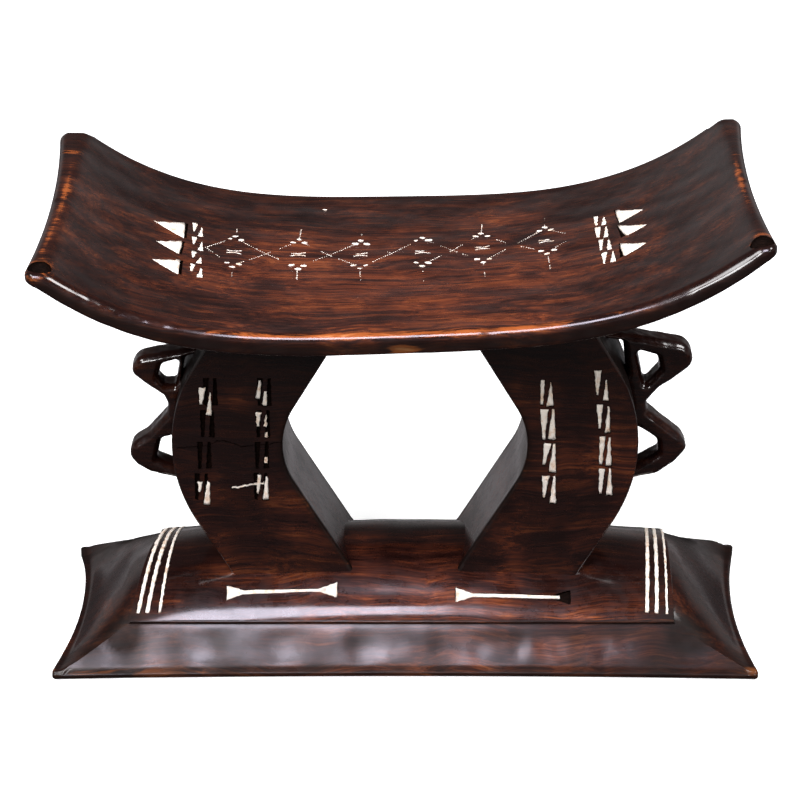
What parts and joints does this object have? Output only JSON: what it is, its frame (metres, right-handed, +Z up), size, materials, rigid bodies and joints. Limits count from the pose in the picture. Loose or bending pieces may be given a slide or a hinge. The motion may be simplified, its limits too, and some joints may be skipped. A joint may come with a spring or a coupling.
{
  "type": "ashanti stool",
  "caption": "Low carved wooden stool with a saddle-curved seat on crescent pillars with openwork side loops, on a vaulted base, with white clay in the carving.",
  "frame": {"origin": "on the floor, under the middle of the base", "axes": "+X along the seat to the right, +Y from the front to the back, +Z up"},
  "size_m": [0.536, 0.27, 0.37],
  "materials": {
    "stained_wood": "very dark brown stain, rubbed to a soft gloss",
    "white_clay": "matt white clay"
  },
  "bodies": {
    "root": {"seat": "stained_wood", "base": "stained_wood", "left_pillar": "stained_wood", "right_pillar": "stained_wood", "left_side_loops": "stained_wood", "right_side_loops": "stained_wood", "seat_left_triangle_clay": "white_clay", "seat_right_triangle_clay": "white_clay", "seat_left_ladder_clay": "white_clay", "seat_right_ladder_clay": "white_clay", "left_pillar_front_clay": "white_clay", "left_pillar_back_clay": "white_clay", "right_pillar_front_clay": "white_clay", "right_pillar_back_clay": "white_clay", "base_left_stripe_clay": "white_clay", "base_right_stripe_clay": "white_clay", "base_front_bar_clay": "white_clay", "base_back_bar_clay": "white_clay"}
  },
  "joints": []
}
